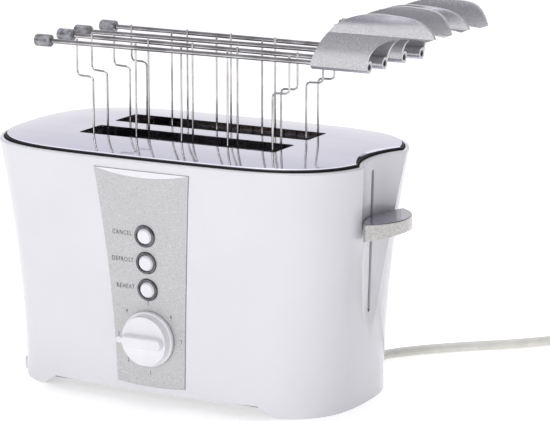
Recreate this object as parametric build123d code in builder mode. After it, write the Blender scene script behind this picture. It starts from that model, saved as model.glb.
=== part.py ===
"""Pop up toaster with two sandwich tongs.

Millimetres.  X runs along the toaster with the lever end at +X, the control
panel faces -Y, and Z is up.  The origin is on the counter, under the middle of
the housing.
"""
from build123d import *
import math
import os

os.makedirs("parts", exist_ok=True)

# ---- driving dimensions ------------------------------------------------------
lip_height = 167.0              # height of the housing's upper rim
foot_half_length = 124.0        # plan half sizes at the counter ...
foot_half_depth = 70.0
lip_half_length = 139.5         # ... and at the rim
lip_half_depth = 82.0
flare_power = 1.9               # how late the sides flare out on the way up
end_power = 4.4                 # plan outline: |x/a|^4.4 + |y/b|^2.8 = 1
side_power = 2.8
wall = 2.6                      # moulded wall of the housing
skirt_lift = 8.5                # the skirt's edge between the corner feet
stand_gap = 0.5                 # rubber pads hold the skirt this far off the counter

recess_radius = 62.0            # hollow at the lever end
recess_floor_top = 128.2        # x of its floor at the rim ...
recess_floor_low = 125.6        # ... and at recess_low_height
recess_low_height = 63.0

plate_height = 172.0            # flat of the polished top plate
plate_edge_height = 169.3
plate_gap = 2.2                 # black gap between rim and plate
plate_sheet = 0.8
slot_pitch = 46.4
slot_length = 150.0
slot_width = 28.9
slot_corner = 2.5
slot_flange = 7.0

panel_top, panel_low = 160.5, 13.5
panel_half_top, panel_half_low = 36.0, 26.0
panel_dip = 4.3                 # depth of the white crescent at its top
panel_seam = 0.3                # dark line round the panel
panel_proud, panel_sunk = 0.6, 1.2
button_heights = {"cancel": 116.0, "defrost": 97.6, "reheat": 79.2}
button_travel = 2.0
bezel_radius, dome_radius = 7.8, 5.4
knob_height, knob_radius, knob_depth = 45.8, 18.8, 13.0

base_level = 12.0               # underside of the base plate
base_sheet = 2.0
tray_low, tray_high = 2.4, 9.6
tray_half_width = 44.0

end_plate_x = 96.0              # steel end plates of the toasting chamber
chamber_half_depth = 54.0
chamber_low, chamber_high = base_level + base_sheet, 163.0
guide_offset = 16.8             # bread guides, from the middle of a slot
element_offset = 22.6           # outer elements, from the middle of a slot

rack_height = 72.6              # upper face of the bread racks, carriage up
carriage_down = 36.5             # travel below the height drawn here; above it the carriage rises 28 mm more
rod_x, rod_radius = 110.0, 2.5
lever_top, lever_low = 128.7, 116.7
lever_half_width, lever_corner_x, lever_tip_x = 29.0, 137.0, 153.0
stem_low, stem_high, stem_half = 118.4, 126.4, 1.4

rail_height, rail_radius = 232.7, 1.6
rail_half_pitch, rail_splay = 11.9, 1.15
wire_radius = 0.7
shoulder_drop = 22.0
cage_bottom = rack_height + 0.3
tong_centres = {"front": -24.8, "rear": 22.2}
half_places = {                 # along X: shift of the cage, middle of the cap, shift of the grip
    "front": {-1: (3.9, -100.4, 0.0), 1: (1.2, -100.3, 1.5)},
    "rear": {-1: (4.1, -98.7, 2.0), 1: (4.2, -95.4, 5.5)},
}
knuckle_shift = {"front": 0.5, "rear": 4.0}     # the hinge pin of each tong, along X
pivot_height = rail_height + 25.0
pin_radius = 1.5

cord_radius = 3.4
cord_exit_x = 88.0
boot_root, boot_tip = 57.0, 81.0            # y of the strain relief's two ends
boot_height = 4.7
coil_radius = 38.0              # mean radius of the stored coil
coil_centre = (232.0, 194.0)
coil_strands = 2                # turns side by side and one above the other
plug_x = 272.0

screw_spots = [(sx * 104.0, sy * 40.0) for sx in (-1, 1) for sy in (-1, 1)]
foot_spots = [(sx * 98.0, sy * 48.5) for sx in (-1, 1) for sy in (-1, 1)]

slots_y = {"front": -slot_pitch / 2, "rear": slot_pitch / 2}


def save(piece, label):
    """Label a finished piece and write it to its own file."""
    piece.label = label
    export_step(piece, f"parts/{label}.step")


# ---- the housing's form ------------------------------------------------------
def flare(z):
    return (max(z, 0.0) / lip_height) ** flare_power


def half_length(z):
    return foot_half_length + (lip_half_length - foot_half_length) * flare(z)


def half_depth(z):
    return foot_half_depth + (lip_half_depth - foot_half_depth) * flare(z)


def outline_points(z, inset):
    """Plan outline at height z, moved inwards by inset."""
    a, b, count = half_length(z) - inset, half_depth(z) - inset, 32
    points = []
    for k in range(count):
        c = math.cos(2 * math.pi * (k + 0.5) / count)
        s = math.sin(2 * math.pi * (k + 0.5) / count)
        x = math.copysign(a * abs(c) ** (2 / end_power), c)
        y = math.copysign(b * abs(s) ** (2 / side_power), s)
        points.append((x, y))
    return points


def housing_form(inset, heights):
    """Solid of the housing's flared form, moved inwards by inset."""
    with BuildPart() as form:
        for z in heights:
            with BuildSketch(Plane.XY.offset(z)):
                with BuildLine():
                    Spline(*outline_points(z, inset), periodic=True)
                make_face()
        loft()
    return form.part


def recess_form(margin):
    """Slightly tilted cylinder that hollows the lever end; margin widens it."""
    lean = (recess_floor_top - recess_floor_low) / (lip_height - recess_low_height)
    axis = Plane(origin=(recess_floor_low + recess_radius, 0, recess_low_height), z_dir=(lean, 0, 1))
    with BuildPart() as form:
        with BuildSketch(axis):
            Circle(recess_radius + margin)
        extrude(amount=130, both=True)
    return form.part


def recess_floor(z):
    lean = (recess_floor_top - recess_floor_low) / (lip_height - recess_low_height)
    return recess_floor_low + lean * (z - recess_low_height)


with BuildLine() as rim_curve:
    Spline(*outline_points(lip_height, 0), periodic=True)
crown = rim_curve.line.bounding_box().max.Y / half_depth(lip_height)    # the curve's own fullness


def front_plane(z, lift=0.0):
    """Plane on the front of the panel at height z, facing out of it."""
    step = 0.5
    slope = crown * (half_depth(z + step) - half_depth(z - step)) / (2 * step)
    normal = Vector(0, -1, -slope).normalized()
    origin = Vector(0, -crown * (half_depth(z) + panel_proud), z) + normal * lift
    return Plane(origin=origin, x_dir=(1, 0, 0), z_dir=normal)


levels = [0, 40, 80, 115, 143, lip_height]
outer_form = housing_form(0, levels)
inner_form = housing_form(wall, [-2, 40, 80, 115, 143, 172])
panel_face = housing_form(-panel_proud, levels)
panel_back = housing_form(panel_sunk, levels)
recess_outer = recess_form(0)
recess_inner = recess_form(wall)


def panel_prism(top_arc, seam=0.0):
    """Prism through the front wall with the panel's tapered outline, seam smaller all round."""
    high, low = panel_top - seam, panel_low + seam
    half_high, half_low = panel_half_top - seam, panel_half_low - seam
    with BuildPart() as prism:
        with BuildSketch(Plane.XZ.offset(40)):
            with BuildLine():
                left_top, right_top = (-half_high, high), (half_high, high)
                left_low, right_low = (-half_low, low), (half_low, low)
                middle = (high + low) / 2
                waist = (half_high + half_low) / 2 - 1.6
                ThreePointArc(left_low, (-waist, middle), left_top)
                if top_arc:
                    ThreePointArc(left_top, (0, high - panel_dip), right_top)
                else:
                    Line(left_top, right_top)
                ThreePointArc(right_top, (waist, middle), right_low)
                ThreePointArc(right_low, (0, low - 1.5), left_low)
            make_face()
        extrude(amount=60)
    return prism.part


panel_pocket = panel_prism(False)
panel_whole = panel_prism(False, panel_seam)
panel_lower = panel_prism(True, panel_seam)

with BuildPart() as hollow:                 # the space inside the housing's wall
    add(inner_form)
    add(recess_inner, mode=Mode.SUBTRACT)

with BuildPart() as panel_seat:             # what the panel lets into the front wall
    add(panel_pocket)
    add(panel_back, mode=Mode.SUBTRACT)

# ---- housing shell -----------------------------------------------------------
arch_flat, arch_end = 77.5, 90.7
slot_top, slot_low, slot_half = 158.9, 62.8, 1.9
boss_radius, boss_top = 5.2, 34.0
rib_length, rib_sheet = 12.4, 2.4           # ribs that join the screw bosses to the end walls

with BuildPart() as housing_shell:
    add(outer_form)
    add(recess_outer, mode=Mode.SUBTRACT)
    fillet(housing_shell.faces().sort_by(Axis.Z)[-1].edges(), 1.1)
    add(hollow.part, mode=Mode.SUBTRACT)
    with BuildSketch(Plane.XY.offset(base_level + base_sheet)):
        with Locations(*screw_spots):
            Circle(boss_radius)
        with Locations(*[(x + math.copysign(rib_length / 2, x), y) for x, y in screw_spots]):
            Rectangle(rib_length, rib_sheet)
    extrude(amount=boss_top - base_level - base_sheet)
    with BuildSketch(Plane.XY.offset(base_level)):
        with Locations(*screw_spots):
            Circle(1.5)
    extrude(amount=16, mode=Mode.SUBTRACT)
    with BuildSketch(Plane.XZ):
        with BuildLine():
            Polyline((-arch_end, stand_gap), (-arch_flat, skirt_lift), (arch_flat, skirt_lift),
                     (arch_end, stand_gap), (arch_end + 60, stand_gap), (arch_end + 60, -5),
                     (-arch_end - 60, -5), (-arch_end - 60, stand_gap), close=True)
        make_face()
    extrude(amount=100, both=True, mode=Mode.SUBTRACT)
    with BuildSketch(Plane.YZ.offset(100)):
        with Locations((0, (slot_top + slot_low) / 2)):
            SlotOverall(slot_top - slot_low, 2 * slot_half, rotation=90)
    extrude(amount=40, mode=Mode.SUBTRACT)
    with BuildSketch(Plane.YZ.offset(-90)):
        with Locations((0, (tray_low + tray_high) / 2)):
            RectangleRounded(2 * tray_half_width + 2.4, tray_high - tray_low + 1.6, 1.5)
    extrude(amount=-50, mode=Mode.SUBTRACT)
    with BuildSketch(Plane.XZ.offset(-50)):
        with Locations((cord_exit_x, boot_height)):
            SlotOverall(18, 9.8, rotation=90)
    extrude(amount=-40, mode=Mode.SUBTRACT)
    add(panel_seat.part, mode=Mode.SUBTRACT)
    with BuildSketch(front_plane(knob_height, -10)):
        Circle(4.2)
    extrude(amount=14, mode=Mode.SUBTRACT)
    for z in button_heights.values():
        with BuildSketch(front_plane(z, -10)):
            Circle(dome_radius + 0.5)
        extrude(amount=14, mode=Mode.SUBTRACT)
save(housing_shell.part, "housing_shell")


# ---- top plate and its gasket ------------------------------------------------
def plate_form(inset, drop, skirt_low):
    """Domed lid: a short upright rim, then a crown that flattens towards the slots."""
    rise, reach, steps = plate_height - plate_edge_height, 44.0, 4
    edge = wall + plate_gap + inset
    with BuildPart() as form:
        for k in range(steps + 1):
            t = k / steps
            z = plate_height - drop - rise * (1 - t) ** 2
            with BuildSketch(Plane.XY.offset(z)):
                with BuildLine():
                    Spline(*outline_points(lip_height, edge + reach * t), periodic=True)
                make_face()
        loft()
        with BuildSketch(Plane.XY.offset(skirt_low)):
            with BuildLine():
                Spline(*outline_points(lip_height, edge), periodic=True)
            make_face()
        extrude(amount=plate_edge_height - drop - skirt_low)
        add(recess_form(edge), mode=Mode.SUBTRACT)
    return form.part


plate_outside = plate_form(0, 0, 162.6)
plate_inside = plate_form(plate_sheet, plate_sheet, 162.0)
with BuildPart() as top_plate:
    add(plate_outside)
    add(plate_inside, mode=Mode.SUBTRACT)
    for y in slots_y.values():
        with BuildSketch(Plane.XY.offset(plate_height - slot_flange)):
            with Locations((0, y)):
                RectangleRounded(slot_length + 2 * plate_sheet, slot_width + 2 * plate_sheet,
                                 slot_corner + plate_sheet)
        extrude(amount=slot_flange - 0.15)
    for y in slots_y.values():
        with BuildSketch(Plane.XY.offset(plate_height - slot_flange - 1)):
            with Locations((0, y)):
                RectangleRounded(slot_length, slot_width, slot_corner)
        extrude(amount=slot_flange + 4, mode=Mode.SUBTRACT)
save(top_plate.part, "top_plate")


def rim_form(edge, low, high):
    """Upright block with the rim's outline moved inwards by edge."""
    with BuildPart() as form:
        with BuildSketch(Plane.XY.offset(low)):
            with BuildLine():
                Spline(*outline_points(lip_height, edge), periodic=True)
            make_face()
        extrude(amount=high - low)
        add(recess_form(edge), mode=Mode.SUBTRACT)
    return form.part


gasket_low, gasket_top = 162.8, 168.2
gasket_outside = rim_form(wall + 0.95, gasket_low, gasket_top)
gasket_inside = rim_form(wall + plate_gap - 0.05, gasket_low - 1, gasket_top + 1)
with BuildPart() as top_gasket:
    add(gasket_outside)
    add(gasket_inside, mode=Mode.SUBTRACT)
save(top_gasket.part, "top_gasket")

# ---- control panel, its crescent and bezels ----------------------------------
bezel_sleeve = 6.9
with BuildPart() as control_panel:
    add(panel_lower)
    add(panel_face, mode=Mode.INTERSECT)
    add(panel_back, mode=Mode.SUBTRACT)
    for z in button_heights.values():
        with BuildSketch(front_plane(z, -10)):
            Circle(bezel_sleeve)
        extrude(amount=14, mode=Mode.SUBTRACT)
    with BuildSketch(front_plane(knob_height, -10)):
        Circle(4.2)
    extrude(amount=14, mode=Mode.SUBTRACT)
save(control_panel.part, "control_panel")

with BuildPart() as panel_crescent:
    add(panel_whole)
    add(panel_lower, mode=Mode.SUBTRACT)
    add(panel_face, mode=Mode.INTERSECT)
    add(panel_back, mode=Mode.SUBTRACT)
save(panel_crescent.part, "panel_crescent")

with BuildPart() as button_bezels:
    for z in button_heights.values():
        with BuildSketch(front_plane(z, -1.7)):
            Circle(bezel_sleeve)
        extrude(amount=1.8)
        with BuildSketch(front_plane(z, 0.05)):
            Circle(bezel_radius)
        extrude(amount=1.1, taper=25)
        with BuildSketch(front_plane(z, -3)):
            Circle(dome_radius + 0.4)
        extrude(amount=6, mode=Mode.SUBTRACT)
save(button_bezels.part, "button_bezels")

# ---- push buttons ------------------------------------------------------------
button_back_y = 65.0
for name, z in button_heights.items():
    depth = half_depth(z) + panel_proud - button_back_y
    with BuildPart() as button:
        with BuildSketch(front_plane(z, -depth)):
            Circle(dome_radius)
        extrude(amount=depth + 0.6)
        with BuildSketch(front_plane(z, 0.6)):
            Circle(dome_radius)
        extrude(amount=1.3, taper=40)
        with BuildSketch(front_plane(z, -5.4)):
            Circle(dome_radius + 1.8)
        extrude(amount=1.4)
    save(button.part, f"button_{name}")

# ---- browning knob and timer control -----------------------------------------
shaft_radius, shaft_tail = 3.0, 12.0
with BuildPart() as knob_shaft:
    with BuildSketch(front_plane(knob_height, -shaft_tail)):
        Circle(shaft_radius)
    extrude(amount=shaft_tail + 9)
save(knob_shaft.part, "knob_shaft")

with BuildPart() as browning_knob:
    with BuildSketch(front_plane(knob_height, 0.9)):
        Circle(knob_radius)
    extrude(amount=2.2, taper=4)
    with BuildSketch(front_plane(knob_height, 3.1)):
        Circle(knob_radius - 1.4)
    extrude(amount=5.4, taper=7)
    with BuildSketch(front_plane(knob_height, 8.5)):
        SlotOverall(2 * knob_radius - 6, 8.4)
    extrude(amount=knob_depth - 8.5, taper=9)
    fillet(browning_knob.faces().sort_by(Axis.Y)[0].edges(), 1.2)
    with BuildSketch(front_plane(knob_height, 5)):
        with Locations((-knob_radius + 1.1, 0)):
            Circle(2.6)
    extrude(amount=5.6, taper=6)
    with BuildSketch(front_plane(knob_height, 0)):
        Circle(shaft_radius)
    extrude(amount=9, mode=Mode.SUBTRACT)
save(browning_knob.part, "browning_knob")

with BuildPart() as timer_control:
    with BuildSketch(front_plane(knob_height, -13.6)):
        Circle(8.5)
    extrude(amount=8.0)
    with BuildSketch(front_plane(knob_height, -5.6)):
        Circle(4.0)
    extrude(amount=4.8)
    with BuildSketch(front_plane(knob_height, -14)):
        Circle(shaft_radius + 0.06)
    extrude(amount=14, mode=Mode.SUBTRACT)
save(timer_control.part, "timer_control")

# ---- circuit board and switches ----------------------------------------------
board_front_y, board_back_y = -58.0, -56.4
with BuildPart() as circuit_board:
    with BuildSketch(Plane.XZ.offset(-board_back_y)):
        with Locations((0, 98)):
            RectangleRounded(66, 66, 2)
    extrude(amount=board_back_y - board_front_y)
save(circuit_board.part, "circuit_board")

with BuildPart() as button_switches:
    for z in button_heights.values():
        with BuildSketch(Plane.XZ.offset(-board_front_y)):
            with Locations((0, z - 0.7)):
                RectangleRounded(6.2, 6.2, 0.6)
        extrude(amount=3.6)
        with BuildSketch(Plane.XZ.offset(3.6 - board_front_y)):
            with Locations((0, z - 0.7)):
                Circle(1.75)
        extrude(amount=1.1)
save(button_switches.part, "button_switches")

# ---- base plate, feet, screws ------------------------------------------------
rail_inner, rail_outer = tray_half_width + 1.2, tray_half_width + 3.2
with BuildPart() as base_plate:
    with BuildSketch(Plane.XY.offset(base_level)):
        with BuildLine():
            Spline(*outline_points(base_level, wall + 0.4), periodic=True)
        make_face()
        Rectangle(150, 76, mode=Mode.SUBTRACT)
        with Locations(*screw_spots):
            Circle(1.75, mode=Mode.SUBTRACT)
    extrude(amount=base_sheet)
    add(recess_form(wall + 0.4), mode=Mode.SUBTRACT)
    for side in (-1, 1):
        with BuildSketch(Plane.YZ.offset(-92)):
            with BuildLine():
                Polyline((side * rail_inner, base_level + 0.1), (side * rail_inner, 2.1),
                         (side * (rail_inner - 4), 2.1), (side * (rail_inner - 4), 1.0),
                         (side * rail_outer, 1.0), (side * rail_outer, base_level + 0.1), close=True)
            make_face()
        extrude(amount=182)
save(base_plate.part, "base_plate")

with BuildPart() as rubber_feet:
    with BuildSketch(Plane.XY):
        with Locations(*foot_spots):
            Circle(4.6)
    extrude(amount=base_level)
    chamfer(rubber_feet.faces().group_by(Axis.Z)[0].edges(), 0.6)
save(rubber_feet.part, "rubber_feet")

with BuildPart() as base_screws:
    with BuildSketch(Plane.XY.offset(base_level - 2)):
        with Locations(*screw_spots):
            Circle(3.4)
    extrude(amount=2)
    with BuildSketch(Plane.XY.offset(base_level)):
        with Locations(*screw_spots):
            Circle(1.45)
    extrude(amount=13)
    with BuildSketch(Plane.XY.offset(base_level - 2)):
        with Locations(*screw_spots):
            Rectangle(4.4, 0.8)
            Rectangle(0.8, 4.4)
    extrude(amount=1.1, mode=Mode.SUBTRACT)
save(base_screws.part, "base_screws")

# ---- crumb tray --------------------------------------------------------------
tray_right = 88.0
tray_band = housing_form(-1.4, [0, 10, 20])
tray_trim = housing_form(0.4, [0, 10, 20])
tray_core = housing_form(0.9, [0, 10, 20])
with BuildPart() as crumb_tray:
    with BuildSketch(Plane.XY.offset(tray_low)):
        with Locations(((tray_right - 140) / 2, 0)):
            Rectangle(tray_right + 140, 2 * tray_half_width - 0.8)
    extrude(amount=tray_high - tray_low - 0.4)
    add(tray_trim, mode=Mode.INTERSECT)
    with BuildSketch(Plane.XY.offset(tray_low + 0.7)):
        with Locations(((tray_right - 112) / 2, 0)):
            Rectangle(tray_right + 112 - 1.4, 2 * tray_half_width - 2.2)
    extrude(amount=10, mode=Mode.SUBTRACT)
with BuildPart() as tray_front:
    with BuildSketch(Plane.YZ.offset(-90)):
        with Locations((0, (tray_low + tray_high) / 2)):
            RectangleRounded(2 * tray_half_width, tray_high - tray_low, 1.0)
    extrude(amount=-60)
    add(tray_band, mode=Mode.INTERSECT)
    add(tray_core, mode=Mode.SUBTRACT)
with BuildPart() as tray_whole:
    add(crumb_tray.part)
    add(tray_front.part)
save(tray_whole.part, "crumb_tray")


# ---- toasting chamber --------------------------------------------------------
def end_plate(side):
    """Steel end plate with the two slits that the bread racks run in."""
    with BuildPart() as plate:
        with BuildSketch(Plane.YZ.offset(side * end_plate_x)):
            with Locations((0, (chamber_low + chamber_high) / 2)):
                Rectangle(2 * chamber_half_depth, chamber_high - chamber_low)
            with Locations(*[(y, (24 + 106) / 2) for y in slots_y.values()]):
                SlotOverall(106 - 24, 4.4, rotation=90, mode=Mode.SUBTRACT)
        extrude(amount=side * 1.0)
        if side > 0:
            with BuildSketch(Plane.XY.offset(160)):
                with Locations((end_plate_x + 10.5, 0)):
                    RectangleRounded(21, 38, 2)
            extrude(amount=2)
    return plate.part


end_plate_left = end_plate(-1)
end_plate_right = end_plate(1)
save(end_plate_left, "end_plate_left")
save(end_plate_right, "end_plate_right")

for name, side in (("front", -1), ("rear", 1)):
    with BuildPart() as shield:
        with BuildSketch(Plane.XZ.offset(-side * (chamber_half_depth - 0.7))):
            with Locations((0, 90)):
                Rectangle(2 * end_plate_x - 0.2, 140)
            with Locations((0, 158)):
                with GridLocations(24, 1, 7, 1):
                    SlotOverall(14, 3, mode=Mode.SUBTRACT)
        extrude(amount=0.6 * -side)
    save(shield.part, f"heat_shield_{name}")

element_ys = (slots_y["front"] - element_offset, 0.0, slots_y["rear"] + element_offset)
mica_length, mica_low, mica_high, mica_half = 180.0, 30.0, 155.0, 0.25
with BuildPart() as heater_boards:
    for y in element_ys:
        with BuildSketch(Plane.XZ.offset(-y - mica_half)):
            with Locations((0, (mica_low + mica_high) / 2)):
                Rectangle(mica_length, mica_high - mica_low)
        extrude(amount=2 * mica_half)
save(heater_boards.part, "heater_boards")

with BuildPart() as heater_windings:
    for y in element_ys:
        for k in range(9):
            with BuildSketch(Plane.XY.offset(38 + 13.5 * k)):
                with Locations((0, y)):
                    Rectangle(mica_length + 0.7, 2 * mica_half + 0.7)
                    Rectangle(mica_length, 2 * mica_half, mode=Mode.SUBTRACT)
            extrude(amount=1.6)
save(heater_windings.part, "heater_windings")

guide_low, guide_high, guide_wires = 20.0, 158.0, 6
with BuildPart() as bread_guides:
    for y in [s + o for s in slots_y.values() for o in (-guide_offset, guide_offset)]:
        for z in (guide_low, guide_high):
            with BuildSketch(Plane.YZ.offset(-end_plate_x)):
                with Locations((y, z)):
                    Circle(1.2)
            extrude(amount=2 * end_plate_x)
        with BuildSketch(Plane.XY.offset(guide_low)):
            with Locations((0, y)):
                with GridLocations(25, 1, guide_wires, 1):
                    Circle(0.9)
        extrude(amount=guide_high - guide_low)
save(bread_guides.part, "bread_guides")

# ---- lift mechanism ----------------------------------------------------------
rod_y, spring_x, spring_y = -12.0, 111.0, 12.0
with BuildPart() as guide_rod:
    with BuildSketch(Plane.XY.offset(chamber_low)):
        with Locations((rod_x, rod_y)):
            Circle(rod_radius)
    extrude(amount=160 - chamber_low)
save(guide_rod.part, "guide_rod")

bracket_x, bracket_sheet, bracket_low, bracket_high = 102.0, 1.6, 62.0, 128.0
with BuildPart() as carriage_bracket:
    with BuildSketch(Plane.YZ.offset(bracket_x)):
        with Locations((0, (bracket_low + bracket_high) / 2)):
            RectangleRounded(68, bracket_high - bracket_low, 4)
        with Locations((22, 104), (-25, 104)):
            RectangleRounded(14, 26, 3, mode=Mode.SUBTRACT)
    extrude(amount=bracket_sheet)
    with BuildSketch(Plane.XY.offset(66)):
        with Locations((rod_x, rod_y)):
            Circle(5)
        with Locations(((bracket_x + rod_x) / 2, rod_y)):
            Rectangle(rod_x - bracket_x, 7)
    extrude(amount=34)
    with BuildSketch(Plane.XY.offset(64)):
        with Locations((rod_x, rod_y)):
            Circle(rod_radius + 0.08)
    extrude(amount=40, mode=Mode.SUBTRACT)
    with BuildSketch(Plane.XY.offset(101)):
        with Locations((bracket_x + 7.5, spring_y)):
            RectangleRounded(15, 10, 1)
    extrude(amount=1.6)
save(carriage_bracket.part, "carriage_bracket")

for name, y in slots_y.items():
    with BuildPart() as rack:
        with BuildSketch(Plane.YZ.offset(-end_plate_x - 4)):
            with Locations((y, rack_height - 1 - 2.5)):
                Rectangle(2.0, 5)
        extrude(amount=bracket_x + end_plate_x + 4)
        with BuildSketch(Plane.XY.offset(rack_height - 1)):
            with Locations((0, y)):
                RectangleRounded(142, 13, 3)
                with GridLocations(14, 8, 10, 2):
                    Circle(1.5, mode=Mode.SUBTRACT)
        extrude(amount=1)
    save(rack.part, f"bread_rack_{name}")

with BuildPart() as latch_plate:
    with BuildSketch(Plane.XY.offset(62)):
        with Locations((bracket_x + bracket_sheet + 5.6, 27)):
            RectangleRounded(11, 11, 1)
    extrude(amount=3)
save(latch_plate.part, "latch_plate")

magnet_top = 62 - carriage_down - 0.4
with BuildPart() as latch_magnet:
    with BuildSketch(Plane.XY.offset(chamber_low)):
        with Locations((109.5, 27)):
            Rectangle(12, 13)
    extrude(amount=1.6)
    with BuildSketch(Plane.XY.offset(chamber_low)):
        with Locations((109.5, 27)):
            Circle(2.6)
    extrude(amount=magnet_top - chamber_low)
    with BuildSketch(Plane.XY.offset(chamber_low + 1.6)):
        with Locations((109.5, 27)):
            Circle(5.6)
    extrude(amount=magnet_top - chamber_low - 2.4)
save(latch_magnet.part, "latch_magnet")


def ring_spring(count, pitch, radius, wire):
    """Spring along Z as closed turns on one thin bar, starting at the origin."""
    with BuildPart() as spring:
        with BuildSketch(Plane.XY.offset(-wire)):
            with Locations((radius, 0)):
                Circle(wire * 0.6)
        extrude(amount=(count - 1) * pitch + 2 * wire)
        for k in range(count):
            with BuildSketch(Plane.XZ):
                with Locations((radius, k * pitch)):
                    Circle(wire)
            revolve(axis=Axis.Z)
    return spring.part


spring_low, spring_high = 103.1, 159.5
carriage_spring = Pos(spring_x, spring_y, spring_low) * ring_spring(15, (spring_high - spring_low) / 14, 3.4, 0.45)
save(carriage_spring, "carriage_spring")

# lever: a crescent paddle between the recess and an outer arc
paddle_gap = 1.3
back_x = recess_floor((lever_top + lever_low) / 2) + paddle_gap
back_edge_x = back_x + recess_radius - math.sqrt(recess_radius ** 2 - (lever_half_width - 1) ** 2)


def paddle_outline(shrink):
    """Plan of the paddle, its edges moved in by shrink."""
    w, c, t, b = lever_half_width - shrink, lever_corner_x, lever_tip_x - shrink, back_x + shrink
    e = back_edge_x + shrink
    with BuildSketch() as outline:
        with BuildLine():
            ThreePointArc((c, -w), (t, 0), (c, w))
            Line((c, w), (e, w - 1))
            ThreePointArc((e, w - 1), (b, 0), (e, 1 - w))
            Line((e, 1 - w), (c, -w))
        make_face()
    return outline.sketch


paddle_plan = paddle_outline(0)
inlay_plan = paddle_outline(1.0)
inlay_depth = 1.2
with BuildPart() as lever_paddle:
    with BuildSketch(Plane.XY.offset(lever_low)):
        add(paddle_plan)
    extrude(amount=lever_top - 0.4 - lever_low)
    with BuildSketch(Plane.XZ):
        with BuildLine():
            Polyline((lever_corner_x - 3, lever_low - 5), (lever_corner_x - 3, lever_low),
                     (lever_tip_x + 1, lever_low + 3.6), (lever_tip_x + 1, lever_low - 5), close=True)
        make_face()
    extrude(amount=60, both=True, mode=Mode.SUBTRACT)
    with BuildSketch(Plane.XY.offset(lever_top - inlay_depth)):
        add(inlay_plan)
    extrude(amount=5, mode=Mode.SUBTRACT)
    with BuildSketch(Plane.YZ.offset(bracket_x + bracket_sheet)):
        with Locations((0, (stem_low + stem_high) / 2)):
            Rectangle(2 * stem_half, stem_high - stem_low)
    extrude(amount=back_x + 4 - bracket_x - bracket_sheet)
save(lever_paddle.part, "lever_paddle")

with BuildPart() as lever_inlay:
    with BuildSketch(Plane.XY.offset(lever_top - inlay_depth)):
        add(inlay_plan)
    extrude(amount=inlay_depth)
save(lever_inlay.part, "lever_inlay")


# ---- sandwich tongs ----------------------------------------------------------
end_wire_top, end_wire_low, middle_step, tick = 79.7, 67.5, 34.5, 2.6
hook_length = 4.8               # short enough that two halves can close without meeting
cage_drop = rail_height - cage_bottom - wire_radius
rail_end, rail_in_cap = 132.0, 1.0
cap_radius, cap_length = 4.15, 12.0
tube_radius, tube_bore, tube_y = 4.0, 2.1, 9.6
knuckle_radius = 3.6
knuckles = {-1: ((117.0, 122.0), (138.0, 143.0)), 1: ((122.4, 127.4), (132.6, 137.6))}


def half_frame(tong, side):
    """Plane of one half of a tong: along its rail, which splays a little."""
    angle = math.radians(rail_splay)
    origin = (half_places[tong][side][0], tong_centres[tong] + side * rail_half_pitch, rail_height)
    return Plane(origin=origin, x_dir=(math.cos(angle), -side * math.sin(angle), 0), z_dir=(0, 0, 1))


def tong_cage(side, cap_middle):
    """Rail with its five welded wires, along X, the wires on the inner side."""
    rail_start = cap_middle - rail_in_cap
    wire_y = -side * (rail_radius + wire_radius - 0.2)
    with BuildPart() as cage:
        with BuildSketch(Plane.YZ.offset(rail_start)):
            Circle(rail_radius)
        extrude(amount=rail_end - rail_start)
        with BuildLine(Plane.XZ.offset(-wire_y)):
            frame = FilletPolyline(
                (-end_wire_top, tick), (-end_wire_top, -shoulder_drop), (-end_wire_low, -shoulder_drop - 0.6),
                (-end_wire_low, -cage_drop), (end_wire_low, -cage_drop),
                (end_wire_low, -shoulder_drop - 0.6), (end_wire_top, -shoulder_drop), (end_wire_top, tick),
                radius=3.0)
        with BuildSketch(Plane(origin=frame @ 0, z_dir=frame % 0)):
            Circle(wire_radius)
        sweep(path=frame)
        for x in (-middle_step, 0, middle_step):
            with BuildLine(Plane.YZ.offset(x)):
                bar = FilletPolyline((wire_y, tick), (wire_y, -cage_drop),
                                     (wire_y - side * hook_length, -cage_drop), radius=2.0)
            with BuildSketch(Plane(origin=bar @ 0, z_dir=bar % 0)):
                Circle(wire_radius)
            sweep(path=bar)
    return cage.part


def rail_cap(cap_middle):
    with BuildPart() as cap:
        with BuildSketch(Plane.YZ.offset(cap_middle - cap_length / 2)):
            Circle(cap_radius)
        extrude(amount=cap_length)
        fillet(cap.edges().filter_by(GeomType.CIRCLE), 1.1)
        with BuildSketch(Plane.YZ.offset(cap_middle - rail_in_cap)):
            Circle(rail_radius)
        extrude(amount=20, mode=Mode.SUBTRACT)
    return cap.part


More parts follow.
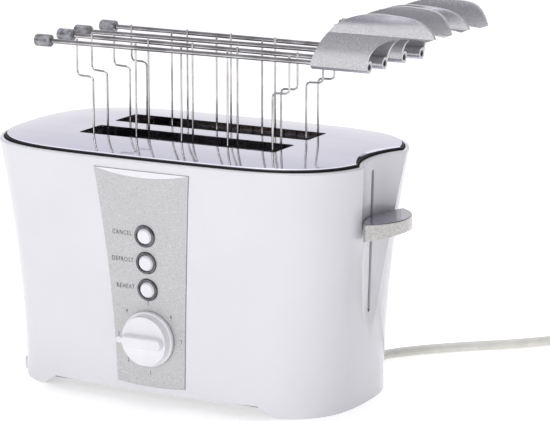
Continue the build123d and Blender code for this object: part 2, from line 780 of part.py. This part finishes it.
def tong_handle(side, shift):
    """Half of the clothes-peg grip, about the tong's middle plane and rail height, its knuckles unshifted."""
    crest = [(101.4, 0), (107.2, 12.4), (115.0, 22.8), (124.4, 29.3), (134.9, 33.4),
             (148.9, 36.0), (166.7, 35.4), (177.8, 33.0), (183.8, 28.3), (187.8, 21.4)]
    under = [(182.9, 19.4), (159.0, 18.9), (147.2, 13.0), (141.6, 0)]
    heel, toe, tube_low = under[-1][0], crest[0][0], -4.6
    with BuildPart() as handle:
        with BuildSketch(Plane.YZ.offset(98)):
            with BuildLine():
                ThreePointArc((side * 12.4, -0.5), (side * 12.9, 9), (side * 10.2, 21))
                ThreePointArc((side * 10.2, 21), (side * 13.8, 30), (side * 21.0, 37.5))
            trace(line_width=2.4)
            with Locations((side * tube_y, 0)):
                Circle(tube_radius)
                Circle(tube_bore, mode=Mode.SUBTRACT)
        extrude(amount=98)
        with BuildSketch(Plane.XZ.shift_origin((shift, 0, 0))):
            with BuildLine():
                Spline(*crest)
                Line(crest[-1], under[0])
                Spline(*under)
                Polyline((heel, 0), (heel, tube_low), (toe, tube_low), (toe, 0))
            make_face()
        extrude(amount=60, both=True, mode=Mode.INTERSECT)
        for low, high in knuckles[side]:
            with BuildSketch(Plane.YZ.offset(low)):
                with Locations((0, pivot_height - rail_height)):
                    Circle(knuckle_radius)
                with Locations((side * 6.2, pivot_height - rail_height - 0.6)):
                    Rectangle(11.2, 3.6)
            extrude(amount=high - low)
        with BuildSketch(Plane.YZ.offset(100)):
            with Locations((0, pivot_height - rail_height)):
                Circle(pin_radius + (0.06 if side > 0 else 0.0))
        extrude(amount=60, mode=Mode.SUBTRACT)
    return handle.part


def tong_pin():
    with BuildPart() as pin:
        with BuildSketch(Plane.YZ.offset(116.4)):
            Circle(pin_radius)
        extrude(amount=27.2)
        for x in (115.4, 143.6):
            with BuildSketch(Plane.YZ.offset(x)):
                Circle(2.6)
            extrude(amount=1)
    return pin.part


pin_part = tong_pin()
spring_part = Pos(127.9, 0, 0) * Rot(0, 90, 0) * ring_spring(4, 1.4, 2.9, 0.4)
for tong, y in tong_centres.items():
    for side, half in ((-1, "front"), (1, "rear")):
        cage_shift, cap_spot, grip_shift = half_places[tong][side]
        place, cap_middle = half_frame(tong, side).location, cap_spot - cage_shift
        handle_part = tong_handle(side, grip_shift - knuckle_shift[tong])
        save(place * tong_cage(side, cap_middle), f"{tong}_tong_{half}_cage")
        save(place * rail_cap(cap_middle), f"{tong}_tong_{half}_cap")
        save(Pos(knuckle_shift[tong], y, rail_height) * handle_part, f"{tong}_tong_{half}_handle")
    save(Pos(knuckle_shift[tong], y, pivot_height) * pin_part, f"{tong}_tong_pin")
    save(Pos(knuckle_shift[tong], y, pivot_height) * spring_part, f"{tong}_tong_spring")

# ---- mains lead --------------------------------------------------------------
gland_low, gland_half = 0.3, 4.7
with BuildPart() as cord_gland:
    with BuildSketch(Plane.XZ.offset(-49)):
        with Locations((cord_exit_x, (gland_low + base_level) / 2)):
            Rectangle(2 * gland_half, base_level - gland_low)
    extrude(amount=-8)
save(cord_gland.part, "cord_gland")

with BuildPart() as cord_boot:
    with BuildSketch(Plane.XZ.offset(-boot_root)):
        with Locations((cord_exit_x, boot_height)):
            Circle(4.5)
    with BuildSketch(Plane.XZ.offset(-boot_tip)):
        with Locations((cord_exit_x, boot_height)):
            Circle(3.75)
    loft()
save(cord_boot.part, "cord_boot")


def tangent_radii(route):
    """Radius of each corner: 0.45 of its shorter run over the tangent of half its turn."""
    radii = []
    for a, b, c in zip(route, route[1:], route[2:]):
        one, two = Vector(*b) - Vector(*a), Vector(*c) - Vector(*b)
        half_turn = math.radians(one.get_angle(two)) / 2
        radii.append(0.45 * min(one.length, two.length) / math.tan(half_turn))
    return radii


def cord_tube(route, name):
    radii = tangent_radii(route)
    print(name, "radii", [round(r, 1) for r in radii])
    with BuildPart() as tube:
        with BuildLine():
            path = FilletPolyline(*route, radius=radii)
        with BuildSketch(Plane(origin=path @ 0, z_dir=path % 0)):
            Circle(cord_radius)
        sweep(path=path)
    expected = math.pi * cord_radius ** 2 * path.length
    print(name, "length", round(path.length, 1), "volume / expected", round(tube.part.volume / expected, 4))
    return tube.part


lead_route = [(88, 81, 4.7), (88, 94, 4.7), (94.5, 108, 4.3), (104.5, 122.5, 3.9), (118.5, 138, 3.6),
              (134.5, 152.5, 3.6), (151, 166, 3.5), (166.5, 180.5, 3.5), (181, 196, 3.6), (194, 212, 3.8)]
tail_route = [(270, 194, 10.4), (270, 181, 10.6), (271.2, 166, 13.6), (272, 149.5, 18.2), (272, 131, 18.2)]
lead_part = cord_tube(lead_route, "lead")
tail_part = cord_tube(tail_route, "tail")
with BuildPart() as power_cord:
    add(lead_part)
    add(tail_part)
save(power_cord.part, "power_cord")

bundle = coil_strands * 2 * cord_radius
with BuildPart() as cord_coil:
    with BuildSketch(Plane.XY.offset(0.1)):
        with Locations(coil_centre):
            Circle(coil_radius + bundle / 2)
            Circle(coil_radius - bundle / 2, mode=Mode.SUBTRACT)
    extrude(amount=bundle)
    fillet(cord_coil.edges(), 2.8)
save(cord_coil.part, "cord_coil")

plug_height = 18.2
with BuildPart() as plug_body:
    with BuildSketch(Plane.XZ.offset(-131)):
        with Locations((plug_x, plug_height)):
            Circle(4.4)
    with BuildSketch(Plane.XZ.offset(-113)):
        with Locations((plug_x, plug_height)):
            Circle(7.2)
    loft()
    with BuildSketch(Plane.XZ.offset(-113)):
        with Locations((plug_x, plug_height)):
            Circle(12.0)
    with BuildSketch(Plane.XZ.offset(-90)):
        with Locations((plug_x, plug_height)):
            Circle(17.9)
    loft()
    with BuildSketch(Plane.XZ.offset(-90)):
        with Locations((plug_x, plug_height)):
            Circle(17.9)
    extrude(amount=14)
save(plug_body.part, "plug_body")

with BuildPart() as plug_pins:
    with BuildSketch(Plane.XZ.offset(-76)):
        with Locations((plug_x - 9.5, plug_height), (plug_x + 9.5, plug_height)):
            Circle(2.4)
    extrude(amount=19)
    fillet(plug_pins.faces().group_by(Axis.Y)[0].edges(), 1.8)
save(plug_pins.part, "plug_pins")
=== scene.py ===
# %% [markdown]
# # A pop up toaster with two sandwich tongs
#
# The toaster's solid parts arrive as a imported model, already at their real size in metres. This lesson
# dresses them: a camera, a cord that lies on the worktop, the finishes of plastic, steel and rubber, and
# the small printed legends. Nothing that came with the model is moved, so every joint still works.

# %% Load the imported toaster
import bpy
import math
from mathutils import Matrix, Vector


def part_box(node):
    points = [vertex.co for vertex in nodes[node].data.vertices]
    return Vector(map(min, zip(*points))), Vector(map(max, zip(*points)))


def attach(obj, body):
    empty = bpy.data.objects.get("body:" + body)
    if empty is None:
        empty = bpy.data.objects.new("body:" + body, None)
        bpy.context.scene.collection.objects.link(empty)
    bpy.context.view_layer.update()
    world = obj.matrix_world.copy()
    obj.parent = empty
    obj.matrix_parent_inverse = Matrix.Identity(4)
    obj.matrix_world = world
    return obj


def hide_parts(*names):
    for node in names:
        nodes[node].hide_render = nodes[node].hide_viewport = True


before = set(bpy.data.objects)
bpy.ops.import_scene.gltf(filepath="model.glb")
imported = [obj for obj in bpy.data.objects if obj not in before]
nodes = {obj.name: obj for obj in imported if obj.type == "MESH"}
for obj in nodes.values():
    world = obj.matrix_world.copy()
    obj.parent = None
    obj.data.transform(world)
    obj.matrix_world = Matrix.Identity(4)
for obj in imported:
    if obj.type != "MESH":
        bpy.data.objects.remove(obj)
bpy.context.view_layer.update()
mm = 0.001

# %% [markdown]
# ## Where the camera stands
#
# Small appliances are often shown from far off with a long lens, because that keeps the upright edges
# nearly parallel. The camera is placed by an azimuth, an elevation and a distance from a point near the
# middle of the housing. Its axes come from those two angles, so there is no constraint to keep track of.

# %% Camera
camera_target = Vector((55.3, 0.0, 124.0)) * mm
azimuth, elevation = math.radians(28.21), math.radians(12.56)
camera_distance = 1.8274
away = Vector((math.sin(azimuth) * math.cos(elevation), -math.cos(azimuth) * math.cos(elevation),
               math.sin(elevation)))
camera_data = bpy.data.cameras.new("camera")
camera_data.lens, camera_data.sensor_width = 179.07, 36.0
camera_data.clip_start, camera_data.clip_end = 0.05, 60.0
camera = bpy.data.objects.new("camera", camera_data)
bpy.context.scene.collection.objects.link(camera)
bpy.context.scene.camera = camera
right = Vector((math.cos(azimuth), math.sin(azimuth), 0.0))
camera_axes = Matrix((right, away.cross(right), away)).transposed().to_4x4()
camera.matrix_world = Matrix.Translation(camera_target + away * camera_distance) @ camera_axes
print("camera stands at", [round(c, 3) for c in camera.matrix_world.translation])

# %% [markdown]
# ## The mains lead
#
# A lead is one bendable tube, so it is one curve. It leaves a grommet under the back of the housing,
# lies along the worktop and ends in a neat coil with the plug beside it, which is how a new toaster's
# lead is put away. A NURBS curve through a short list of given points bends softly everywhere,
# as rubber does, and a loop works out the coil's turns: two on the worktop and the rest on top of them.
# A tube's thickness is its bevel depth times each point's radius. The curve's own box counts that
# radius as it stands, so the points carry the thickness in metres and the bevel depth is left at one.

# %% Route of the lead
lead_radius = 3.4 * mm
lead_run = [(88, 81, 4.7), (88, 94, 4.7), (94.5, 108, 4.3), (104.5, 122.5, 3.9), (118.5, 138, 3.6),
            (134.5, 152.5, 3.6), (151, 166, 3.5), (166.5, 180.5, 3.5), (180, 195, 3.7)]
plug_run = [(273, 180, 11.2), (272, 166, 14.2), (272, 149.5, 18.2), (272, 131, 18.2)]
coil_centre = (232.0, 194.0)
outer_turn, inner_turn = 41.5, 34.6
lower_layer, upper_layer = 4.0, 10.95
points_per_turn = 18
start_angle, last_turn = 155.0, 3 + 155.0 / 360.0


def eased(value, start, end):
    """0 before start, 1 after end, and a soft step between them."""
    t = min(max((value - start) / (end - start), 0.0), 1.0)
    return t * t * (3 - 2 * t)


coil_run = []
coil_steps = round(last_turn * points_per_turn)
for step in range(coil_steps + 1):
    turn = last_turn * step / coil_steps
    inwards = eased(turn, 0.85, 1.1) - eased(turn, 2.85, 3.1)
    radius = outer_turn + (inner_turn - outer_turn) * inwards
    height = lower_layer + (upper_layer - lower_layer) * eased(turn, 1.85, 2.1)
    angle = math.radians(start_angle - 360.0 * turn)
    coil_x = coil_centre[0] + radius * math.cos(angle)
    coil_y = coil_centre[1] + radius * math.sin(angle)
    coil_run.append((coil_x, coil_y, height))
route = lead_run + coil_run + plug_run
print("points along the lead:", len(route))

# %% Lead as one smooth curve
lead_curve = bpy.data.curves.new("power_lead", "CURVE")
lead_curve.dimensions = "3D"
lead_curve.bevel_depth = 1.0
lead_curve.bevel_resolution = 6
lead_curve.resolution_u = 8
lead_curve.use_fill_caps = True
line = lead_curve.splines.new("NURBS")
line.points.add(len(route) - 1)
for point, (x, y, z) in zip(line.points, route):
    point.co = (x * mm, y * mm, z * mm, 1.0)
    point.radius = lead_radius
line.order_u = 3
line.use_endpoint_u = True
power_lead = bpy.data.objects.new("power_lead", lead_curve)
bpy.context.scene.collection.objects.link(power_lead)
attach(power_lead, "housing")
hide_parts("power_cord", "cord_coil")

centre_line = lead_curve.copy()
centre_line.bevel_depth = 0.0
measure = bpy.data.objects.new("measure", centre_line)
bpy.context.scene.collection.objects.link(measure)
bpy.context.view_layer.update()
measured = bpy.data.meshes.new_from_object(measure.evaluated_get(bpy.context.evaluated_depsgraph_get()))
bpy.data.objects.remove(measure)

# %% [markdown]
# ## A tie round the coil
#
# The turns are held by a flat strap. It is a closed band swept round the bundle: a rounded rectangle of
# points, given a width along the turns and a thickness by a Solidify modifier.

# %% Coil tie
tie_angle, tie_width, tie_sheet = math.radians(250), 5.0, 0.5
tie_out = Vector((math.cos(tie_angle), math.sin(tie_angle), 0))
tie_along = Vector((-math.sin(tie_angle), math.cos(tie_angle), 0))
tie_middle = Vector((*coil_centre, 0)) + tie_out * (outer_turn + inner_turn) / 2
half_across, tie_low, tie_high, corner = 7.45, 0.1, 14.9, 3.6
corner_steps = 6
outline = []
for sx, sz, start in ((1, 1, 0), (-1, 1, 90), (-1, -1, 180), (1, -1, 270)):
    for k in range(corner_steps + 1):
        a = math.radians(start + 90 / corner_steps * k)
        middle_z = (tie_high - corner) if sz > 0 else (tie_low + corner)
        outline.append((sx * (half_across - corner) + corner * math.cos(a), middle_z + corner * math.sin(a)))
tie_points, tie_faces = [], []
for out, up in outline:
    for side in (-0.5, 0.5):
        spot = tie_middle + tie_out * out + tie_along * side * tie_width + Vector((0, 0, up))
        tie_points.append(spot * mm)
for k in range(len(outline)):
    n = (k + 1) % len(outline)
    tie_faces.append((2 * k, 2 * k + 1, 2 * n + 1, 2 * n))
tie_mesh = bpy.data.meshes.new("coil_tie")
tie_mesh.from_pydata(tie_points, [], tie_faces)
coil_tie = bpy.data.objects.new("coil_tie", tie_mesh)
bpy.context.scene.collection.objects.link(coil_tie)
thicken = coil_tie.modifiers.new("thickness", "SOLIDIFY")
thicken.thickness = tie_sheet * mm
thicken.offset = -1.0
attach(coil_tie, "housing")
print("tie has", len(tie_faces), "faces")

# %% [markdown]
# ## How a finish is made
#
# Every finish here starts from the same shader and gets its own fine detail from noise measured in
# metres on the part itself. A helper makes the shader with its constant numbers. A second one mottles
# the colour, and a third adds a fine relief, because no moulded or rolled surface is perfectly even.

# %% Helpers for finishes
def new_finish(name, roughness, metallic=0.0, coat=0.0, specular=0.5):
    finish = bpy.data.materials.new(name)
    finish.use_nodes = True
    shader = finish.node_tree.nodes["Principled BSDF"]
    shader.inputs["Roughness"].default_value = roughness
    shader.inputs["Metallic"].default_value = metallic
    shader.inputs["Coat Weight"].default_value = coat
    shader.inputs["Coat Roughness"].default_value = 0.05
    shader.inputs["Specular IOR Level"].default_value = specular
    return finish, shader


def place(finish, stretch=(1, 1, 1)):
    """Coordinates on the part, in metres, squeezed where a grain should run long."""
    tree = finish.node_tree
    where = tree.nodes.new("ShaderNodeTexCoord")
    mapping = tree.nodes.new("ShaderNodeMapping")
    mapping.inputs["Scale"].default_value = stretch
    tree.links.new(where.outputs["Object"], mapping.inputs["Vector"])
    return mapping.outputs["Vector"]


def noise(finish, size, detail=3.0, stretch=(1, 1, 1)):
    """Noise whose lumps are about size metres across."""
    tree = finish.node_tree
    texture = tree.nodes.new("ShaderNodeTexNoise")
    texture.inputs["Scale"].default_value = 1.0 / size
    texture.inputs["Detail"].default_value = detail
    tree.links.new(place(finish, stretch), texture.inputs["Vector"])
    return texture.outputs["Fac"]


def mottle(finish, shader, dark, light, size, stretch=(1, 1, 1), low=0.35, high=0.65):
    """Colour that wanders between dark and light."""
    tree = finish.node_tree
    ramp = tree.nodes.new("ShaderNodeValToRGB")
    ramp.color_ramp.elements[0].position, ramp.color_ramp.elements[1].position = low, high
    ramp.color_ramp.elements[0].color = (*dark, 1)
    ramp.color_ramp.elements[1].color = (*light, 1)
    tree.links.new(noise(finish, size, stretch=stretch), ramp.inputs["Fac"])
    tree.links.new(ramp.outputs["Color"], shader.inputs["Base Color"])


def relief(finish, shader, size, depth, strength=0.5, stretch=(1, 1, 1)):
    """Fine bumps, depth metres deep."""
    tree = finish.node_tree
    bump = tree.nodes.new("ShaderNodeBump")
    bump.inputs["Strength"].default_value = strength
    bump.inputs["Distance"].default_value = depth
    tree.links.new(noise(finish, size, stretch=stretch), bump.inputs["Height"])
    tree.links.new(bump.outputs["Normal"], shader.inputs["Normal"])


def vary_roughness(finish, shader, low, high, size, stretch=(1, 1, 1)):
    """Roughness that drifts between low and high, as handling and polishing leave it."""
    tree = finish.node_tree
    span = tree.nodes.new("ShaderNodeMapRange")
    span.inputs["To Min"].default_value, span.inputs["To Max"].default_value = low, high
    tree.links.new(noise(finish, size, stretch=stretch), span.inputs["Value"])
    tree.links.new(span.outputs["Result"], shader.inputs["Roughness"])


def dress(finish, *names):
    """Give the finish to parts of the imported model."""
    for name in names:
        slots = nodes[name].data.materials
        slots.clear()
        slots.append(finish)
    print(finish.name, "on", len(names), "parts")


# %% [markdown]
# ## White gloss plastic
#
# The housing is moulded in white plastic with a cool cast and a hard gloss. Moulded gloss is never quite
# flat: a very shallow long ripple breaks up the reflections a little.

# %% White gloss finishes
gloss_white, shader = new_finish("white_gloss_plastic", 0.18, coat=0.2)
mottle(gloss_white, shader, (0.735, 0.735, 0.762), (0.76, 0.76, 0.788), 60 * mm)
relief(gloss_white, shader, 14 * mm, 0.05 * mm, 0.25)
dress(gloss_white, "housing_shell", "crumb_tray")

control_white, shader = new_finish("white_control_plastic", 0.22, coat=0.4)
mottle(control_white, shader, (0.80, 0.80, 0.825), (0.84, 0.84, 0.86), 20 * mm)
relief(control_white, shader, 1.2 * mm, 0.01 * mm, 0.3)
dress(control_white, "panel_crescent", "button_cancel", "button_defrost", "button_reheat", "browning_knob")

# %% [markdown]
# ## Polished steel
#
# The top plate is mirror steel, so its colour is what it reflects; the lilac cast in its steel colour is
# painted reflection of the lilac sky. Rolling leaves faint hairlines along the sheet, which only a
# stretched noise on the roughness shows. The tongs' wires are bright drawn wire: the same metal, a little
# brighter and with marks along the wire.

# %% Polished plate, wire and bezels
plate_steel, shader = new_finish("plate_steel_painted_lilac_reflection", 0.07, metallic=1.0)
# The lilac cast in both of these colours is painted reflection; their streaky drift along the sheet is the
# steel's own.
mottle(plate_steel, shader, (0.68, 0.67, 0.76), (0.74, 0.73, 0.81), 25 * mm, stretch=(0.25, 1, 1))
vary_roughness(plate_steel, shader, 0.04, 0.11, 2 * mm, stretch=(0.06, 1, 1))
dress(plate_steel, "top_plate")

bright_wire, shader = new_finish("bright_wire", 0.18, metallic=1.0)
mottle(bright_wire, shader, (0.34, 0.33, 0.325), (0.66, 0.645, 0.63), 5 * mm, stretch=(0.3, 1, 0.3))
relief(bright_wire, shader, 0.5 * mm, 0.02 * mm, 0.4, stretch=(0.2, 1, 0.2))
tong_wires = [n for n in nodes if n.endswith(("_cage", "_pin", "_tong_spring"))]
dress(bright_wire, "bread_guides", "guide_rod", "carriage_spring", *tong_wires)

dark_chrome, shader = new_finish("dark_chrome", 0.12, metallic=1.0)
mottle(dark_chrome, shader, (0.09, 0.088, 0.095), (0.19, 0.185, 0.20), 4 * mm)
dress(dark_chrome, "button_bezels")

# %% [markdown]
# ## Silver paint
#
# The control panel and the tongs' grips are plastic sprayed with silver lacquer. The paint holds metal
# flakes, which show as a fine grain. The grips are shinier than the panel, and the lever's band is
# brushed across its length.

# %% Silver panel, grips and lever
panel_silver, shader = new_finish("silver_panel_paint", 0.44, metallic=0.35)
mottle(panel_silver, shader, (0.43, 0.43, 0.432), (0.67, 0.67, 0.672), 0.6 * mm, low=0.3, high=0.7)
relief(panel_silver, shader, 0.4 * mm, 0.03 * mm, 0.4)
dress(panel_silver, "control_panel")

grip_silver, shader = new_finish("silver_grip_paint", 0.25, metallic=0.75)
mottle(grip_silver, shader, (0.42, 0.42, 0.43), (0.66, 0.66, 0.67), 0.75 * mm, low=0.3, high=0.7)
relief(grip_silver, shader, 0.4 * mm, 0.02 * mm, 0.4)
dress(grip_silver, *[n for n in nodes if n.endswith("_handle")])

lever_band, shader = new_finish("brushed_lever_band", 0.3, metallic=0.9)
mottle(lever_band, shader, (0.46, 0.445, 0.43), (0.62, 0.60, 0.585), 0.7 * mm, stretch=(0.4, 0.4, 1))
relief(lever_band, shader, 0.35 * mm, 0.01 * mm, 0.3, stretch=(0.4, 0.4, 1))
dress(lever_band, "lever_paddle")

lever_gloss, shader = new_finish("lever_top_gloss", 0.12, metallic=0.35, coat=0.8)
mottle(lever_gloss, shader, (0.18, 0.175, 0.21), (0.24, 0.235, 0.28), 12 * mm)
dress(lever_gloss, "lever_inlay")

# %% [markdown]
# ## Rubber, soft sheath and caps
#
# Rubber and soft plastic scatter light and have a faint skin texture. The caps on the rails are moulded
# in a grey plastic with streaks of darker pigment.

# %% Dark seal, caps, lead and plug
black_rubber, shader = new_finish("black_rubber", 0.6, specular=0.3)
mottle(black_rubber, shader, (0.006, 0.006, 0.007), (0.014, 0.014, 0.016), 3 * mm)
relief(black_rubber, shader, 0.6 * mm, 0.03 * mm)
dress(black_rubber, "top_gasket", "rubber_feet", "cord_gland", "button_switches")

cap_plastic, shader = new_finish("streaked_cap_plastic", 0.38, coat=0.15)
mottle(cap_plastic, shader, (0.12, 0.12, 0.135), (0.42, 0.42, 0.45), 2.4 * mm,
       stretch=(0.5, 1, 1), low=0.33, high=0.66)
relief(cap_plastic, shader, 0.5 * mm, 0.02 * mm)
dress(cap_plastic, *[n for n in nodes if n.endswith("_cap")])

soft_sheath, shader = new_finish("soft_lead_sheath", 0.45, specular=0.4)
mottle(soft_sheath, shader, (0.66, 0.65, 0.60), (0.72, 0.71, 0.67), 9 * mm)
relief(soft_sheath, shader, 0.8 * mm, 0.03 * mm, 0.3)
dress(soft_sheath, "cord_boot")
power_lead.data.materials.append(soft_sheath)

plug_plastic, shader = new_finish("plug_plastic", 0.4, specular=0.45)
mottle(plug_plastic, shader, (0.70, 0.69, 0.65), (0.76, 0.75, 0.71), 6 * mm)
relief(plug_plastic, shader, 0.7 * mm, 0.04 * mm, 0.4)
dress(plug_plastic, "plug_body")

strap_plastic, shader = new_finish("tie_strap_plastic", 0.5)
mottle(strap_plastic, shader, (0.02, 0.02, 0.022), (0.04, 0.04, 0.043), 1.5 * mm)
relief(strap_plastic, shader, 0.5 * mm, 0.05 * mm)
coil_tie.data.materials.append(strap_plastic)

# %% [markdown]
# ## Parts inside
#
# Through the bread slots one sees galvanised sheet, mica boards wound with heating ribbon, and the
# racks. Galvanised sheet has crystals of zinc, for which a Voronoi pattern is the natural texture.

# %% Sheet steel, mica, ribbon and the small parts
sheet_steel, shader = new_finish("galvanised_sheet", 0.38, metallic=1.0)
tree = sheet_steel.node_tree
crystals = tree.nodes.new("ShaderNodeTexVoronoi")
crystals.inputs["Scale"].default_value = 1 / (7 * mm)
spangle = tree.nodes.new("ShaderNodeValToRGB")
spangle.color_ramp.elements[0].color = (0.34, 0.34, 0.35, 1)
spangle.color_ramp.elements[1].color = (0.55, 0.55, 0.56, 1)
tree.links.new(place(sheet_steel), crystals.inputs["Vector"])
tree.links.new(crystals.outputs["Color"], spangle.inputs["Fac"])
tree.links.new(spangle.outputs["Color"], shader.inputs["Base Color"])
relief(sheet_steel, shader, 2 * mm, 0.03 * mm, 0.3)
dress(sheet_steel, "base_plate", "base_screws", "end_plate_left", "end_plate_right", "heat_shield_front",
      "heat_shield_rear", "carriage_bracket", "bread_rack_front", "bread_rack_rear", "latch_plate",
      "knob_shaft", "timer_control")

mica, shader = new_finish("mica_board", 0.5)
mottle(mica, shader, (0.30, 0.22, 0.13), (0.52, 0.43, 0.30), 5 * mm, stretch=(1, 1, 0.3))
relief(mica, shader, 2 * mm, 0.05 * mm)
dress(mica, "heater_boards")

ribbon, shader = new_finish("oxidised_heating_ribbon", 0.45, metallic=1.0)
mottle(ribbon, shader, (0.16, 0.13, 0.12), (0.33, 0.29, 0.27), 3 * mm)
relief(ribbon, shader, 1 * mm, 0.02 * mm)
dress(ribbon, "heater_windings")

board_green, shader = new_finish("circuit_board_laminate", 0.35, coat=0.3)
mottle(board_green, shader, (0.02, 0.10, 0.04), (0.05, 0.18, 0.08), 2.5 * mm)
relief(board_green, shader, 1 * mm, 0.03 * mm)
dress(board_green, "circuit_board")

coil_copper, shader = new_finish("magnet_winding", 0.35, metallic=0.9)
mottle(coil_copper, shader, (0.30, 0.13, 0.06), (0.55, 0.27, 0.14), 0.6 * mm, stretch=(0.1, 0.1, 1))
relief(coil_copper, shader, 0.5 * mm, 0.1 * mm, stretch=(0.1, 0.1, 1))
dress(coil_copper, "latch_magnet")

pin_brass, shader = new_finish("plated_pin_metal", 0.22, metallic=1.0)
mottle(pin_brass, shader, (0.60, 0.58, 0.52), (0.74, 0.72, 0.66), 2 * mm)
relief(pin_brass, shader, 0.6 * mm, 0.01 * mm)
dress(pin_brass, "plug_pins")

# %% [markdown]
# ## Printed legends
#
# The three buttons are named, and the browning knob has a ring of numbers. Each legend is a text curve
# with a thin body, turned into a mesh and laid on the panel. A ray cast towards the panel finds the
# exact spot and the way the surface faces there, so that the print follows the panel's lean.

# %% Legends on the panel
legend_ink, shader = new_finish("legend_ink", 0.5)
mottle(legend_ink, shader, (0.012, 0.012, 0.014), (0.025, 0.025, 0.028), 1 * mm)
panel_part = nodes["control_panel"]
legend_height, number_height, legend_body = 4.5, 4.4, 0.04
letter_spacing, stroke_thinning, letter_width = 1.25, 0.010, 0.74
legend_edge, legend_lift = -9.8, 0.3        # right end of the words, and their lift over a button's middle
dial_radius, dial_step = 24.0, 45


def print_legend(name, words, x, z, height, align="CENTER"):
    """Words on the panel, in front of the point x, z."""
    _, spot, facing, _ = panel_part.ray_cast(Vector((x * mm, -1, z * mm)), Vector((0, 1, 0)))
    curve = bpy.data.curves.new(name, "FONT")
    curve.body = words
    curve.align_x, curve.align_y = align, "CENTER"
    curve.size = height * mm
    curve.extrude = legend_body * mm
    curve.space_character = letter_spacing
    curve.offset = -stroke_thinning * height * mm
    curve.resolution_u = 4
    text = bpy.data.objects.new(name, curve)
    bpy.context.scene.collection.objects.link(text)
    bpy.context.view_layer.update()
    letters = bpy.data.meshes.new_from_object(text.evaluated_get(bpy.context.evaluated_depsgraph_get()))
    letters.materials.clear()
    bpy.data.objects.remove(text)
    legend = bpy.data.objects.new(name, letters)
    bpy.context.scene.collection.objects.link(legend)
    across = Vector((1, 0, 0))
    up = facing.cross(across).normalized()
    axes = Matrix((across * letter_width, up, facing)).transposed().to_4x4()
    legend.matrix_world = Matrix.Translation(spot + facing * legend_body * mm) @ axes
    legend.data.materials.append(legend_ink)
    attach(legend, "housing")


for word in ("cancel", "defrost", "reheat"):
    low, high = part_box(f"button_{word}")
    word_height = (low.z + high.z) / 2 / mm + legend_lift
    print_legend(f"legend_{word}", word.upper(), legend_edge, word_height, legend_height, "RIGHT")
low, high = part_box("browning_knob")
dial_height = (low.z + high.z) / 2 / mm
for number in range(1, 8):
    a = math.radians(-90 - dial_step * (number - 1))
    number_x, number_z = dial_radius * math.cos(a), dial_height + dial_radius * math.sin(a)
    print_legend(f"legend_{number}", str(number), number_x, number_z, number_height)
print("legends: 3 words and 7 numbers")

# %% [markdown]
# ## Floor and light
#
# A pale floor that runs far back fills the view, and glows a little so that it stays clean white.
# Two large soft lights stand for a white tent, one overhead and one in front. White plastic
# only shows its form where something darker is mirrored or faces it, so the world is darkened at both
# ends, as black screens would do, and it turns lilac overhead, where the polished plate mirrors it.

# %% Floor
floor_mesh = bpy.data.meshes.new("floor")
reach = 9.0
corners = [(-reach, -reach, 0), (reach, -reach, 0), (reach, reach, 0), (-reach, reach, 0)]
floor_mesh.from_pydata(corners, [], [(0, 1, 2, 3)])
floor = bpy.data.objects.new("floor", floor_mesh)
bpy.context.scene.collection.objects.link(floor)
floor_white, shader = new_finish("pale_floor", 0.55, specular=0.25)
mottle(floor_white, shader, (0.80, 0.80, 0.80), (0.82, 0.82, 0.82), 0.4)
shader.inputs["Emission Color"].default_value = (1, 1, 1, 1)
shader.inputs["Emission Strength"].default_value = 0.5
floor_mesh.materials.append(floor_white)
print("floor laid")

# %% Lights
world = bpy.data.worlds.new("studio")
bpy.context.scene.world = world
world.use_nodes = True
sky = world.node_tree
background = sky.nodes["Background"]
background.inputs["Strength"].default_value = 0.95
direction = sky.nodes.new("ShaderNodeTexCoord")
split = sky.nodes.new("ShaderNodeSeparateXYZ")
shade = sky.nodes.new("ShaderNodeValToRGB")
shade.color_ramp.elements[0].position, shade.color_ramp.elements[1].position = 0.02, 0.75
shade.color_ramp.elements[0].color = (0.98, 0.98, 1.0, 1)
shade.color_ramp.elements[1].color = (0.66, 0.65, 0.74, 1)
sky.links.new(direction.outputs["Generated"], split.inputs["Vector"])
sky.links.new(split.outputs["Z"], shade.inputs["Fac"])

# Dark screens stand at both ends, the one near the lever the darker, and it is dimmer in front.
dim = shade.outputs["Color"]
for axis, near, far, left_over in (("X", 0.2, 0.8, 0.3), ("X", -0.62, -0.95, 0.4), ("Y", 0.45, -0.1, 0.5)):
    screen = sky.nodes.new("ShaderNodeMapRange")
    screen.interpolation_type = "SMOOTHSTEP"
    screen.inputs["From Min"].default_value, screen.inputs["From Max"].default_value = near, far
    screen.inputs["To Min"].default_value, screen.inputs["To Max"].default_value = 1.0, left_over
    sky.links.new(split.outputs[axis], screen.inputs["Value"])
    darken = sky.nodes.new("ShaderNodeVectorMath")
    darken.operation = "MULTIPLY"
    sky.links.new(dim, darken.inputs[0])
    sky.links.new(screen.outputs["Result"], darken.inputs[1])
    dim = darken.outputs["Vector"]
sky.links.new(dim, background.inputs["Color"])


light_target = Vector((0.03, 0, 0.12))


def soft_light(name, spot, power, width, height):
    """Rectangular light of power watts that faces the toaster."""
    data = bpy.data.lights.new(name, "AREA")
    data.shape, data.size, data.size_y = "RECTANGLE", width, height
    data.energy = power
    lamp = bpy.data.objects.new(name, data)
    bpy.context.scene.collection.objects.link(lamp)
    lamp.location = spot
    lamp.rotation_mode = "QUATERNION"
    lamp.rotation_quaternion = (light_target - Vector(spot)).to_track_quat("-Z", "Y")


soft_light("overhead", (0.0, 0.5, 2.3), 26, 1.2, 2.4)
soft_light("front", (0.3, -2.8, 1.1), 30, 1.5, 1.6)
bpy.context.scene.view_settings.view_transform = "Standard"
print("two soft lights, two dark screens and a pale sky")

# %% Update the scene at the end
bpy.context.view_layer.update()
